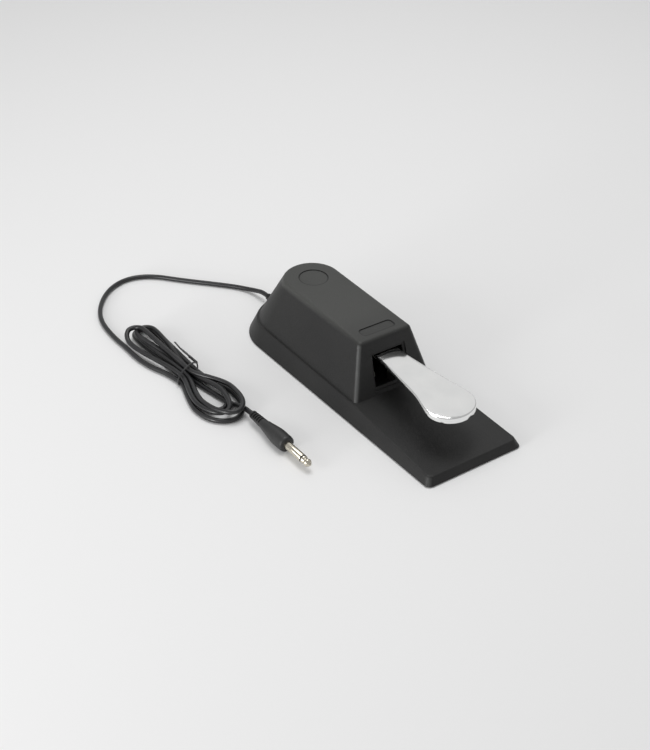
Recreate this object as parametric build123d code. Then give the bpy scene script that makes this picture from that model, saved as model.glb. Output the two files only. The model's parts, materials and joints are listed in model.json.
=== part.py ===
"""Piano-style sustain pedal: chromed lever in a moulded case, with its tied-up lead and jack plug.

Millimetres. The origin is on the floor, under the middle of the case. +Z is up, the lever's toe end
points to -Y and the lead leaves the case at +Y.
"""
from build123d import *
from math import cos, pi, radians, tan
import os

os.makedirs("parts", exist_ok=True)

# ---- case: a drafted wedge-shaped base with a taller housing moulded on it ----
CASE_LENGTH = 270.0
CASE_WIDTH = 88.0
CASE_BOTTOM = 0.8
WALL = 2.6
SKIRT_DRAFT = 26.0
SKIRT_WALL = WALL / cos(radians(SKIRT_DRAFT))
DECK_FRONT_Z = 7.0
DECK_MID_Y = -35.9
DECK_MID_Z = 13.1
DECK_REAR_Z = 15.4
FRONT_CORNER_R = 5.5
RIDGE_R = 1.2

HOUSE_FOOT_Z = 14.0
HOUSE_FOOT_HALF = 35.8
HOUSE_FOOT_FRONT = -35.6
HOUSE_FOOT_CENTRE = 91.4
HOUSE_TOP_Z = 58.0
HOUSE_TOP_HALF = 24.0
HOUSE_TOP_FRONT = -23.0
HOUSE_TOP_CENTRE = 74.6
TOP_FRONT_Z = 56.1
TOP_SLOPE = 0.0402
HOUSE_EDGE_R = 4.2
HOUSE_CORNER_R = 4.0

MOUTH_SILL_Z = 18.4
MOUTH_HEAD_Z = 43.6
MOUTH_SILL_HALF = 15.2
MOUTH_HEAD_HALF = 14.2
MOUTH_FRAME = 2.2
MOUTH_FRAME_DEPTH = 1.2
LABEL_SIZE = (30.0, 9.0)
LABEL_Y = -12.6
LABEL_DEPTH = 0.5
BADGE_R = 11.7
BADGE_Y = 73.0
BADGE_DEPTH = 0.45

# ---- floor of the case ----
MAT_THICKNESS = 1.4
MAT_INSET = 4.2
PLATE_THICKNESS = 1.8
PLATE_INSET = 4.8
PLATE_TOP = MAT_THICKNESS + PLATE_THICKNESS
CASE_SCREW_SPOTS = [(30.0, -96.0, 5.2), (29.0, -4.0, 9.0), (27.5, 80.0, 9.0)]
SCREW_R = 1.45
SCREW_HEAD_R = 2.8
BOSS_R = 3.6

# ---- lever ----
PIVOT_Y = 52.0
PIVOT_Z = 38.0
LEVER_THICKNESS = 1.8
LEVER_RIM_R = 1.2
LEVER_LIP_R = 0.5
NECK_HALF = 10.6
NECK_END_Y = -28.0
SPOON_HALF = 20.4
SPOON_Y = -102.0
TIP_Y = -119.4
LEVER_REAR_Y = 60.5
WEB_TOP_Z = 43.0
WEB_UNDER_Z = WEB_TOP_Z - LEVER_THICKNESS
WEB_DIP = 0.25
# station y, lower edge z, shoulder height above the edge, crown z
LEVER_STATIONS = [
    (LEVER_REAR_Y, 38.4, 4.5, WEB_TOP_Z),
    (45.0, 38.4, 4.5, WEB_TOP_Z),
    (30.0, 38.4, 4.5, WEB_TOP_Z),
    (15.0, 38.4, 4.5, WEB_TOP_Z),
    (0.0, 38.4, 4.5, WEB_TOP_Z),
    (-15.0, 38.6, 4.0, WEB_TOP_Z),
    (-30.0, 38.7, 3.0, 42.8),
    (-62.0, 37.5, 3.4, 42.0),
    (-90.0, 36.0, 3.9, 40.8),
    (-107.0, 33.9, 4.2, 39.1),
    (-124.0, 32.2, 4.0, 36.9),
]
STATION_MARGIN = 1.5
EAR_R = 6.0
STROKE_DEG = 6.5

# ---- pivot ----
SHAFT_R = 3.0
SHAFT_HALF = 17.4
BUSH_GAP = 0.05
BUSH_R = 4.5
BUSH_FLANGE_R = 6.0
BUSH_FLANGE = 1.1
STEEL = 1.5
CHEEK_INNER = 13.2
BRACKET_FRONT = 40.0
BRACKET_REAR = 64.0
CLIP_X = 15.6
CLIP_THICKNESS = 0.8
CLIP_R = 5.0
GROOVE_R = 2.4

# ---- return spring and stops ----
SPRING_Y = 4.0
SPRING_R = 7.0
SPRING_WIRE_R = 0.8
SPRING_TURNS = 7
SEAT_R = 9.5
SEAT_TOP = 5.0
POST_R = 5.0
POST_TOP = 30.6
STOP_TOP = 33.6
CAP_THICKNESS = 1.2
CAP_R = 8.4
PORTAL_FRONT = -20.0
PORTAL_REAR = -10.0
PORTAL_TOP = 46.5
PORTAL_FOOT = 9.5
PAD_GAP = 0.35

# ---- microswitch ----
SWITCH_HALF = 3.2
SWITCH_FRONT = 24.0
SWITCH_REAR = 44.0
SWITCH_BOTTOM = 26.5
SWITCH_TOP = 36.5
LEAF_Y = 42.0
LEAF_Z = 37.2
LEAF_LENGTH = 16.5
LEAF_THICKNESS = 0.4
LEAF_RISE_DEG = 11.5
LEAF_PIN_R = 0.5
PLUNGER_Y = 34.5
PLUNGER_R = 1.0
PLUNGER_TOP = 38.0
TAB_SPOTS = (27.0, 34.0, 41.0)
SWITCH_SCREW_SPOTS = ((29.2, 29.4), (38.8, 29.4))

# ---- lead ----
CORD_R = 2.0
CORD_Z = 2.05
CABLE_Z = 8.0
CABLE_INNER_END = 93.0
GLAND_FLANGE_Y = 124.2
GLAND_COLLAR_Y = 134.4
GLAND_END_Y = 143.0
LEAD_ROUTE = [
    (0.0, GLAND_END_Y, CABLE_Z),
    (0.0, 151.0, CABLE_Z),
    (-0.6, 160.0, 5.4),
    (-2.6, 169.8, 2.8),
    (-8.5, 180.6, CORD_Z),
    (-21.0, 195.0, CORD_Z),
    (-42.0, 217.5, CORD_Z),
    (-61.0, 241.0, CORD_Z),
    (-82.0, 249.0, CORD_Z),
    (-104.0, 240.5, CORD_Z),
    (-122.5, 220.0, CORD_Z),
    (-133.0, 197.5, CORD_Z),
    (-135.6, 170.0, CORD_Z),
    (-134.4, 146.5, CORD_Z),
]
HANK_OUTLINE = [
    (-136.5, 141.0), (-136.6, 128.0), (-133.6, 110.0), (-128.4, 95.0), (-125.6, 82.0), (-128.8, 66.0),
    (-133.2, 50.0), (-134.4, 36.0), (-130.5, 20.0), (-118.0, 10.6), (-104.0, 12.0), (-95.5, 24.0),
    (-93.6, 42.0), (-96.6, 58.0), (-101.6, 71.0), (-102.8, 84.0), (-102.4, 100.0), (-102.0, 125.0),
    (-101.4, 150.0), (-104.5, 163.0), (-113.0, 168.4), (-124.0, 166.5), (-132.5, 159.0),
]
HANK_HEIGHT = 11.8
TIE_Y = 82.0
TIE_WIDTH = 2.6
TIE_THICKNESS = 0.8
TIE_LEFT = -125.8
TIE_RIGHT = -102.6
TIE_ENDS = ((-103.4, 122.0, 9.4), (-101.4, 117.0, 6.4))
TIE_END_R = 0.7
TIE_KNOT_R = 1.7
TIE_TWIST_R = 1.2
PLUG_START = (-102.2, 5.6, 6.7)
PLUG_TURN = 0.6
PLUG_BODY_LENGTH = 47.5
PLUG_SHAFT_R = 3.175
SLEEVE_LENGTH = 19.6
INSULATOR_LENGTH = 1.2
TAIL_LENGTH = 13.0


def prism_across(points, half):
    """Solid of a side-view (y, z) outline, symmetric about x = 0."""
    outline = Polyline([(0, y, z) for y, z in points], close=True)
    return extrude(make_face(outline), amount=half, dir=(1, 0, 0), both=True)


def prism_along(points, y_low, y_high):
    """Solid of a front-view (x, z) outline between two stations."""
    outline = Polyline([(x, y_low, z) for x, z in points], close=True)
    return extrude(make_face(outline), amount=y_high - y_low, dir=(0, 1, 0))


def block(x_low, x_high, y_low, y_high, z_low, z_high):
    """Box between six planes."""
    centre = ((x_low + x_high) / 2, (y_low + y_high) / 2, (z_low + z_high) / 2)
    return Pos(*centre) * Box(x_high - x_low, y_high - y_low, z_high - z_low)


def upright(x, y, z_low, z_high, radius):
    """Cylinder along Z."""
    return Pos(x, y, (z_low + z_high) / 2) * Cylinder(radius, z_high - z_low)


def across(y, z, x_low, x_high, radius):
    """Cylinder along X."""
    return Pos((x_low + x_high) / 2, y, z) * Rot(0, 90, 0) * Cylinder(radius, x_high - x_low)


def rod(start, end, radius):
    """Straight round rod between two points."""
    reach = Vector(*end) - Vector(*start)
    place = Plane(origin=start, z_dir=reach)
    return place * Cylinder(radius, reach.length, align=(Align.CENTER, Align.CENTER, Align.MIN))


def turned(profile):
    """Solid turned about Z from (radius, z) points."""
    outline = Polyline([(r, 0, z) for r, z in profile], close=True)
    return revolve(make_face(outline), axis=Axis.Z)


# ---------------------------------------------------------------- case

def d_outline(half, front, centre, z):
    """Plan outline with a square front and a round rear."""
    edges = [
        Line((-half, front, z), (half, front, z)),
        Line((half, front, z), (half, centre, z)),
        ThreePointArc((half, centre, z), (0, centre + half, z), (-half, centre, z)),
        Line((-half, centre, z), (-half, front, z)),
    ]
    return Wire(edges)


def d_plate(inset, z_low, z_high):
    """Flat plate with the outline of the base, inset all round."""
    half = CASE_WIDTH / 2 - inset
    outline = d_outline(half, inset - CASE_LENGTH / 2, (CASE_LENGTH - CASE_WIDTH) / 2, z_low)
    return extrude(Face(outline), amount=z_high - z_low, dir=(0, 0, 1))


def skirt_block(inset):
    """Drafted block under the sloping deck, with the deck lowered by the wall when inset."""
    wires = []
    for z in (CASE_BOTTOM, DECK_REAR_Z + 2):
        shrink = inset + (z - CASE_BOTTOM) * tan(radians(SKIRT_DRAFT))
        half = CASE_WIDTH / 2 - shrink
        centre = (CASE_LENGTH - CASE_WIDTH) / 2
        wires.append(d_outline(half, shrink - CASE_LENGTH / 2, centre, z))
    solid = Solid.make_loft(wires, ruled=True)
    drop = WALL if inset else 0.0
    reach = CASE_LENGTH / 2
    front_slope = (DECK_MID_Z - DECK_FRONT_Z) / (DECK_MID_Y + reach - DECK_FRONT_Z / 2)
    rear_slope = (DECK_REAR_Z - DECK_MID_Z) / (reach - DECK_MID_Y)
    far = reach + 10
    deck = [
        (-far, -1),
        (far, -1),
        (far, DECK_MID_Z + rear_slope * (far - DECK_MID_Y) - drop),
        (DECK_MID_Y, DECK_MID_Z - drop),
        (-far, DECK_MID_Z - front_slope * (far + DECK_MID_Y) - drop),
    ]
    return solid & prism_across(deck, CASE_WIDTH)


def between(z, foot, top):
    """Value of a housing dimension at a height, drafted straight from foot to top."""
    return foot + (top - foot) * (z - HOUSE_FOOT_Z) / (HOUSE_TOP_Z - HOUSE_FOOT_Z)


def top_z(y):
    """Height of the housing's sloping top face."""
    return TOP_FRONT_Z + TOP_SLOPE * (y - HOUSE_TOP_FRONT)


def house_block(inset, z_low):
    """Drafted housing, inset on the walls and the top."""
    wires = []
    for z in (z_low, HOUSE_TOP_Z + 8):
        half = between(z, HOUSE_FOOT_HALF, HOUSE_TOP_HALF) - inset
        front = between(z, HOUSE_FOOT_FRONT, HOUSE_TOP_FRONT) + inset
        centre = between(z, HOUSE_FOOT_CENTRE, HOUSE_TOP_CENTRE)
        wires.append(d_outline(half, front, centre, z))
    solid = Solid.make_loft(wires, ruled=True)
    under = [(-60, 0), (150, 0), (150, top_z(150) - inset), (-60, top_z(-60) - inset)]
    return solid & prism_across(under, CASE_WIDTH)


def outer_skirt():
    """Wedge base with rounded front corners and a rounded ridge."""
    solid = skirt_block(0)
    corners = [
        e for e in solid.edges()
        if abs(e.center().X) > 30 and e.center().Y < -125 and e.bounding_box().size.Z > 3
    ]
    solid = fillet(corners, FRONT_CORNER_R)
    ridge = [e for e in solid.edges() if e.center().Z > 6 and not is_crease(e)]
    return fillet(ridge, RIDGE_R)


def is_crease(edge):
    """True for the fold across the deck."""
    return abs(edge.center().Y - DECK_MID_Y) < 0.5 and abs(edge.center().X) < 1


def outer_house():
    """Housing with rounded front corners and a soft edge round the top."""
    solid = house_block(0, HOUSE_FOOT_Z - 4)
    corners = [
        e for e in solid.edges()
        if abs(e.center().X) > 20 and e.center().Y < -20 and e.bounding_box().size.Z > 30
    ]
    solid = fillet(corners, HOUSE_CORNER_R)
    return fillet(solid.faces().sort_by(Axis.Z)[-1].edges(), HOUSE_EDGE_R)


def mouth_points(grow):
    """Front-view outline of the lever's opening."""
    return [
        (-MOUTH_SILL_HALF - grow, MOUTH_SILL_Z - grow),
        (MOUTH_SILL_HALF + grow, MOUTH_SILL_Z - grow),
        (MOUTH_HEAD_HALF + grow, MOUTH_HEAD_Z + grow),
        (-MOUTH_HEAD_HALF - grow, MOUTH_HEAD_Z + grow),
    ]


def make_upper_case():
    """Moulded shell with the mouth, a blank label recess, a plain round recess and screw bosses."""
    outside = outer_skirt() + outer_house()
    shell = outside - skirt_block(SKIRT_WALL) - house_block(WALL, 6.0)
    for x, y, length in CASE_SCREW_SPOTS:
        for side in (-1, 1):
            boss = upright(side * x, y, PLATE_TOP, 26.0, BOSS_R) & outside
            shell += boss
    for x, y, length in CASE_SCREW_SPOTS:
        for side in (-1, 1):
            shell -= upright(side * x, y, 0, MAT_THICKNESS + length + 0.6, SCREW_R + 0.05)
    shell -= prism_along(mouth_points(0), -60, -18)
    frame = prism_along(mouth_points(MOUTH_FRAME), -60, -18)
    shell -= frame - house_block(MOUTH_FRAME_DEPTH, 10.0)
    label = extrude(RectangleRounded(*LABEL_SIZE, 3.2), amount=80)
    shell -= Pos(0, LABEL_Y, 0) * label - house_block(LABEL_DEPTH, 10.0)
    badge = Cylinder(BADGE_R, 200)
    shell -= Pos(0, BADGE_Y, 0) * badge - house_block(BADGE_DEPTH, 10.0) - block(-50, 50, 0, 150, -150, 40)
    return shell - Pos(0, 130, CABLE_Z) * Rot(90, 0, 0) * Cylinder(3.7, 20)


def make_base_plate():
    """Steel sheet floor with countersunk holes for the case screws."""
    plate = d_plate(PLATE_INSET, MAT_THICKNESS, PLATE_TOP)
    for x, y, length in CASE_SCREW_SPOTS:
        for side in (-1, 1):
            sink = Pos(side * x, y, 0) * turned([
                (0, MAT_THICKNESS), (SCREW_HEAD_R + 0.1, MAT_THICKNESS),
                (SCREW_R + 0.1, MAT_THICKNESS + 1.5), (SCREW_R + 0.1, PLATE_TOP), (0, PLATE_TOP),
            ])
            plate -= sink
    return plate


def make_rubber_mat():
    """Rubber sheet under the plate, with an access hole at each case screw."""
    mat = d_plate(MAT_INSET, 0, MAT_THICKNESS)
    for x, y, length in CASE_SCREW_SPOTS:
        for side in (-1, 1):
            mat -= upright(side * x, y, 0, MAT_THICKNESS, SCREW_HEAD_R + 0.8)
    return mat


def make_case_screws():
    """Countersunk screws from below, one solid each."""
    screws = []
    for x, y, length in CASE_SCREW_SPOTS:
        screw = turned([
            (0, MAT_THICKNESS), (SCREW_HEAD_R, MAT_THICKNESS), (SCREW_R, MAT_THICKNESS + 1.4),
            (SCREW_R, MAT_THICKNESS + length - 0.8), (0.6, MAT_THICKNESS + length),
            (0, MAT_THICKNESS + length),
        ])
        screw -= Pos(0, 0, MAT_THICKNESS + 0.4) * (Box(3.2, 0.7, 0.8) + Box(0.7, 3.2, 0.8))
        screws += [Pos(side * x, y, 0) * screw for side in (-1, 1)]
    return Compound(children=screws)


# ---------------------------------------------------------------- lever

def lever_plan(inset, rear):
    """Plan outline: parallel neck, flare, and an elliptical nose."""
    neck = NECK_HALF - inset
    spoon = SPOON_HALF - inset
    flare = [(neck, NECK_END_Y), (13.4 - inset, -60.0), (17.6 - inset, -87.0), (spoon, SPOON_Y)]
    right = Spline(flare, tangents=[(0, -1), (0, -1)])
    left = Spline([(-x, y) for x, y in flare], tangents=[(0, -1), (0, -1)])
    nose = EllipticalCenterArc((0, SPOON_Y), spoon, SPOON_Y - TIP_Y - inset, 180, arc_size=180)
    neck_sides = [Line((x, rear), (x, NECK_END_Y)) for x in (-neck, neck)]
    edges = [*neck_sides, right, nose, left, Line((-neck, rear), (neck, rear))]
    return make_face(edges)


def lever_half(y):
    """Half width of the loft at a station, wider than the plan outline that trims it."""
    reach = max(0.0, NECK_END_Y - y) / (NECK_END_Y - SPOON_Y)
    return NECK_HALF + (SPOON_HALF - NECK_HALF) * min(1.0, reach ** 1.5) + STATION_MARGIN


def lever_loft(drop, extra):
    """Crowned bar through the lever's stations, lowered by drop and longer by extra."""
    wires = []
    for y, edge, shoulder, crown in LEVER_STATIONS:
        half = lever_half(y)
        station = y + (extra if y == LEVER_REAR_Y else 0.0)
        low = edge - (5.0 if drop else 0.0)
        side = edge + shoulder - drop
        wires.append(Wire([
            Line((-half, station, low), (half, station, low)),
            Line((half, station, low), (half, station, side)),
            ThreePointArc((half, station, side), (0, station, crown - drop), (-half, station, side)),
            Line((-half, station, side), (-half, station, low)),
        ]))
    return Solid.make_loft(wires)


def make_pedal_lever():
    """Pressed lever: crowned spoon, flanged neck, and two ears at the pivot."""
    outer = lever_loft(0, 0) & extrude(lever_plan(0, LEVER_REAR_Y), amount=80)
    for place, radius in ((-1, LEVER_RIM_R), (0, LEVER_LIP_R)):
        face = outer.faces().sort_by(Axis.Z)[place]
        outer = fillet([e for e in face.edges() if e.bounding_box().size.Y > 3], radius)
    inner = lever_loft(LEVER_THICKNESS, 2) & extrude(lever_plan(LEVER_THICKNESS, 70), amount=80)
    lever = outer - inner
    for side in (-1, 1):
        low = side * (NECK_HALF - LEVER_THICKNESS)
        high = side * NECK_HALF
        ear = across(PIVOT_Y, PIVOT_Z, min(low, high), max(low, high), EAR_R)
        neck = block(min(low, high), max(low, high), PIVOT_Y - EAR_R, PIVOT_Y + EAR_R, PIVOT_Z, 40.5)
        lever += ear + neck
    return lever - across(PIVOT_Y, PIVOT_Z, -20, 20, SHAFT_R + 0.02)


def make_pivot_shaft():
    """Steel pin with a clip groove near each end."""
    shaft = across(PIVOT_Y, PIVOT_Z, -SHAFT_HALF, SHAFT_HALF, SHAFT_R)
    shaft = chamfer(shaft.edges(), 0.4)
    for side in (-1, 1):
        low, high = sorted((side * CLIP_X, side * (CLIP_X + CLIP_THICKNESS + 0.1)))
        shaft -= across(PIVOT_Y, PIVOT_Z, low, high, 4.0) - across(PIVOT_Y, PIVOT_Z, low, high, GROOVE_R)
    return shaft


def make_shaft_clip(side):
    """Open retaining clip in the shaft's groove."""
    low, high = sorted((side * (CLIP_X + 0.05), side * (CLIP_X + 0.05 + CLIP_THICKNESS)))
    clip = across(PIVOT_Y, PIVOT_Z, low, high, CLIP_R)
    clip -= across(PIVOT_Y, PIVOT_Z, low, high, GROOVE_R + 0.05)
    return clip - block(low, high, PIVOT_Y - 1.6, PIVOT_Y + 1.6, PIVOT_Z - 8, PIVOT_Z)


def make_pivot_bush(side):
    """Flanged nylon bush in one cheek of the bracket."""
    flange = across(PIVOT_Y, PIVOT_Z, CHEEK_INNER - BUSH_FLANGE, CHEEK_INNER, BUSH_FLANGE_R)
    barrel = across(PIVOT_Y, PIVOT_Z, CHEEK_INNER, CHEEK_INNER + STEEL + 0.2, BUSH_R)
    bush = flange + barrel - across(PIVOT_Y, PIVOT_Z, 0, 30, SHAFT_R + BUSH_GAP)
    return bush if side > 0 else mirror(bush, about=Plane.YZ)


def bracket_screw_spots():
    """Screws through the web of the pivot bracket."""
    return [(x, y) for x in (-9.0, 9.0) for y in (BRACKET_FRONT + 4.5, BRACKET_REAR - 4.5)]


def make_pivot_bracket():
    """Folded U of sheet steel with a rounded cheek on each side of the lever."""
    outer = CHEEK_INNER + STEEL
    bracket = block(-outer, outer, BRACKET_FRONT, BRACKET_REAR, PLATE_TOP, PLATE_TOP + STEEL)
    cheek = prism_across([
        (BRACKET_FRONT, PLATE_TOP), (BRACKET_REAR, PLATE_TOP),
        (PIVOT_Y + 8, PIVOT_Z), (PIVOT_Y - 8, PIVOT_Z),
    ], outer) + across(PIVOT_Y, PIVOT_Z, -outer, outer, 8.0)
    bracket += cheek - block(-CHEEK_INNER, CHEEK_INNER, 20, 80, PLATE_TOP, 60)
    bracket -= across(PIVOT_Y, PIVOT_Z, -outer, outer, BUSH_R)
    for x, y in bracket_screw_spots():
        bracket -= upright(x, y, 0, 10, SCREW_R + 0.1)
    return bracket


def pan_screw(x, y, z, length, head_r=2.7, head=1.8):
    """Pan-head screw standing in a hole, head on the plane at z."""
    screw = turned([
        (0, z - length), (SCREW_R, z - length), (SCREW_R, z), (head_r, z), (head_r, z + head * 0.5),
        (head_r * 0.6, z + head), (0, z + head),
    ])
    cross = Box(head_r * 1.1, 0.7, 1.0) + Box(0.7, head_r * 1.1, 1.0)
    return Pos(x, y, 0) * (screw - Pos(0, 0, z + head) * cross)


def make_mechanism_screws(plate_spots):
    """Pan-head screws that hold the brackets to the plate."""
    depth = STEEL + PLATE_THICKNESS - 0.2
    return Compound(children=[pan_screw(x, y, PLATE_TOP + STEEL, depth) for x, y in plate_spots])


# ---------------------------------------------------------------- spring and stops

def make_spring_seat():
    """Nylon disc and post that hold the foot of the spring."""
    seat = upright(0, SPRING_Y, PLATE_TOP, SEAT_TOP, SEAT_R)
    return seat + upright(0, SPRING_Y, SEAT_TOP, POST_TOP, POST_R)


def make_lower_stop():
    """Rubber buffer on the post, which ends the stroke."""
    return upright(0, SPRING_Y, POST_TOP, STOP_TOP, POST_R)


def make_spring_cap():
    """Nylon washer between the spring and the lever's web."""
    top = WEB_UNDER_Z - WEB_DIP
    return upright(0, SPRING_Y, top - CAP_THICKNESS, top, CAP_R)


def make_return_spring():
    """Compression spring between the seat and the cap."""
    low = SEAT_TOP + SPRING_WIRE_R + 0.05
    high = WEB_UNDER_Z - WEB_DIP - CAP_THICKNESS - SPRING_WIRE_R - 0.05
    path = Pos(0, SPRING_Y, low) * Helix((high - low) / SPRING_TURNS, high - low, SPRING_R)
    section = Plane(path @ 0, z_dir=path % 0) * Circle(SPRING_WIRE_R)
    return sweep(section, path)


def portal_screw_spots():
    """Screws through the feet of the stop bracket."""
    reach = CHEEK_INNER + STEEL + PORTAL_FOOT / 2
    return [(side * reach, (PORTAL_FRONT + PORTAL_REAR) / 2) for side in (-1, 1)]


def make_stop_bracket():
    """Folded steel portal over the lever, just inside the mouth."""
    outer = CHEEK_INNER + STEEL
    portal = block(-outer, outer, PORTAL_FRONT, PORTAL_REAR, PLATE_TOP, PORTAL_TOP)
    portal -= block(-CHEEK_INNER, CHEEK_INNER, -30, 0, 0, PORTAL_TOP - STEEL)
    for side in (-1, 1):
        low, high = sorted((side * outer, side * (outer + PORTAL_FOOT)))
        portal += block(low, high, PORTAL_FRONT, PORTAL_REAR, PLATE_TOP, PLATE_TOP + STEEL)
    for x, y in portal_screw_spots():
        portal -= upright(x, y, 0, 10, SCREW_R + 0.1)
    return portal


def make_upper_stop():
    """Felt strip under the portal, which the lever rests against."""
    low = WEB_TOP_Z + PAD_GAP
    return block(-9, 9, PORTAL_FRONT + 1, PORTAL_REAR - 1, low, PORTAL_TOP - STEEL)


# ---------------------------------------------------------------- microswitch

def make_switch_body():
    """Snap-action switch with ears for its leaf and two cross holes."""
    body = block(-SWITCH_HALF, SWITCH_HALF, SWITCH_FRONT, SWITCH_REAR, SWITCH_BOTTOM, SWITCH_TOP)
    body = fillet(body.edges().filter_by(Axis.X), 0.6)
    for side in (-1, 1):
        low, high = sorted((side * 2.3, side * SWITCH_HALF))
        body += block(low, high, LEAF_Y - 1.1, LEAF_Y + 1.1, SWITCH_TOP - 1, LEAF_Z + 1.1)
    body -= across(LEAF_Y, LEAF_Z, -5, 5, LEAF_PIN_R + 0.05)
    body -= upright(0, PLUNGER_Y, SWITCH_TOP - 3, SWITCH_TOP + 1, PLUNGER_R + 0.06)
    for y, z in SWITCH_SCREW_SPOTS:
        body -= across(y, z, -5, 5, 1.25)
    return body


def make_switch_leaf():
    """Spring-steel actuator leaf on its cross pin."""
    rise = tan(radians(LEAF_RISE_DEG))
    half = LEAF_THICKNESS / 2
    tip = LEAF_Y - LEAF_LENGTH
    leaf = prism_across([
        (LEAF_Y, LEAF_Z - half), (LEAF_Y, LEAF_Z + half),
        (tip, LEAF_Z + half + LEAF_LENGTH * rise), (tip, LEAF_Z - half + LEAF_LENGTH * rise),
    ], 1.9)
    return leaf + across(LEAF_Y, LEAF_Z, -SWITCH_HALF, SWITCH_HALF, LEAF_PIN_R)


def make_switch_plunger():
    """Button that the leaf pushes into the switch."""
    return upright(0, PLUNGER_Y, SWITCH_TOP - 1.6, PLUNGER_TOP, PLUNGER_R)


def make_switch_tabs():
    """Solder tabs under the switch."""
    tabs = [block(-0.25, 0.25, y - 1.4, y + 1.4, 21.0, SWITCH_BOTTOM) for y in TAB_SPOTS]
    return Compound(children=tabs)


def make_switch_bracket():
    """Steel angle that carries the switch beside the lever's centre line."""
    inner = SWITCH_HALF
    wall = block(inner, inner + STEEL, SWITCH_FRONT - 1, SWITCH_REAR, 8.0, 34.0)
    leg = block(inner, inner + STEEL, SWITCH_FRONT - 1, 38.0, PLATE_TOP, 9.0)
    foot = block(inner, inner + 10.5, SWITCH_FRONT - 1, 38.0, PLATE_TOP, PLATE_TOP + STEEL)
    bracket = wall + leg + foot
    for y, z in SWITCH_SCREW_SPOTS:
        bracket -= across(y, z, 0, 10, 1.25)
    for x, y in switch_foot_spots():
        bracket -= upright(x, y, 0, 10, SCREW_R + 0.1)
    return bracket


def switch_foot_spots():
    """Screws through the foot of the switch bracket."""
    return [(9.8, SWITCH_FRONT + 3.0), (9.8, 34.5)]


def make_switch_screws():
    """Two cross screws that clamp the switch to its bracket."""
    screws = []
    for y, z in SWITCH_SCREW_SPOTS:
        shank = across(y, z, -SWITCH_HALF, SWITCH_HALF + STEEL + 1.5, 1.2)
        screws.append(shank + across(y, z, -SWITCH_HALF - 1.5, -SWITCH_HALF, 2.2))
    return Compound(children=screws)


# ---------------------------------------------------------------- lead

def tube(points, radius, radii):
    """Round tube along straight runs joined by tangent arcs."""
    path = FilletPolyline(points, radius=radii)
    section = Plane(path @ 0, z_dir=path % 0) * Circle(radius)
    return sweep(section, path), path.length


def arc_radii(points):
    """Largest fair arc at each corner: 0.45 of the shorter run over the tangent of half the turn."""
    spots = [Vector(*p) for p in points]
    radii = []
    for before, here, after in zip(spots, spots[1:], spots[2:]):
        run_in = here - before
        run_out = after - here
        half_turn = radians(run_in.get_angle(run_out)) / 2
        radii.append(0.45 * min(run_in.length, run_out.length) / tan(half_turn))
    return radii


def make_cord_lead():
    """Free lead from the gland to the hank."""
    radii = arc_radii(LEAD_ROUTE)
    solid, length = tube(LEAD_ROUTE, CORD_R, radii)
    print("lead radii", [round(r, 1) for r in radii])
    print("lead length", round(length, 1), "volume ratio",
          round(solid.volume / (length * pi * CORD_R ** 2), 4))
    return solid


def make_cord_hank():
    """Outer shape of the folded turns, drawn in where the tie holds them."""
    outline = Spline([(x, y, 0) for x, y in HANK_OUTLINE], periodic=True)
    hank = extrude(make_face(outline), amount=HANK_HEIGHT, dir=(0, 0, 1))
    reach = TIE_WIDTH / 2 + 0.1
    slot = block(TIE_LEFT - 9, TIE_RIGHT + 9, TIE_Y - reach, TIE_Y + reach, -1, HANK_HEIGHT + 1)
    core = TIE_THICKNESS + 0.05
    slot -= block(TIE_LEFT + core, TIE_RIGHT - core, TIE_Y - 9, TIE_Y + 9, core, HANK_HEIGHT - core)
    return hank - slot


def make_twist_tie():
    """Band round the waist of the hank, with its twist and two free ends."""
    band = block(TIE_LEFT, TIE_RIGHT, TIE_Y - TIE_WIDTH / 2, TIE_Y + TIE_WIDTH / 2, 0, HANK_HEIGHT)
    band -= block(TIE_LEFT + TIE_THICKNESS, TIE_RIGHT - TIE_THICKNESS, TIE_Y - 9, TIE_Y + 9,
                  TIE_THICKNESS, HANK_HEIGHT - TIE_THICKNESS)
    knot = (TIE_RIGHT + 0.4, TIE_Y + 1.0, 8.0)
    fork = (TIE_RIGHT + 0.8, TIE_Y + 15.0, 8.6)
    twist = Pos(*knot) * Sphere(TIE_KNOT_R) + rod(knot, fork, TIE_TWIST_R) + Pos(*fork) * Sphere(TIE_TWIST_R)
    for end in TIE_ENDS:
        twist += rod(fork, end, TIE_END_R) + Pos(*end) * Sphere(TIE_END_R)
    return band + twist


def on_plug_axis(solid):
    """Place a piece turned about Z, so that its +Z runs from the cord towards the plug's tip."""
    return Pos(*PLUG_START) * Rot(0, 0, PLUG_TURN) * Rot(90, 0, 0) * solid


def make_cord_tail():
    """Short end of the lead between the hank and the plug."""
    return on_plug_axis(Pos(0, 0, -TAIL_LENGTH / 2) * Cylinder(CORD_R, TAIL_LENGTH))


def make_plug_body():
    """Moulded plug grip with a grooved strain relief."""
    length = PLUG_BODY_LENGTH
    body = turned([
        (0, 0), (2.7, 0), (3.1, 1.0), (3.9, 17.0), (4.5, 19.5), (6.3, 32.0), (6.6, 38.0),
        (6.4, length - 1.6), (5.0, length), (0, length),
    ])
    for step in range(5):
        z = 3.6 + 2.9 * step
        for side in (-1, 1):
            body -= Pos(side * 4.6, 0, z) * Box(4.0, 9.0, 1.3)
    return on_plug_axis(body)


def make_plug_sleeve():
    """Nickel sleeve of the quarter-inch plug."""
    sleeve = Pos(0, 0, PLUG_BODY_LENGTH + SLEEVE_LENGTH / 2) * Cylinder(PLUG_SHAFT_R, SLEEVE_LENGTH)
    return on_plug_axis(sleeve)


def make_plug_insulator():
    """Black ring between sleeve and tip."""
    z = PLUG_BODY_LENGTH + SLEEVE_LENGTH + INSULATOR_LENGTH / 2
    return on_plug_axis(Pos(0, 0, z) * Cylinder(PLUG_SHAFT_R, INSULATOR_LENGTH))


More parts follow.
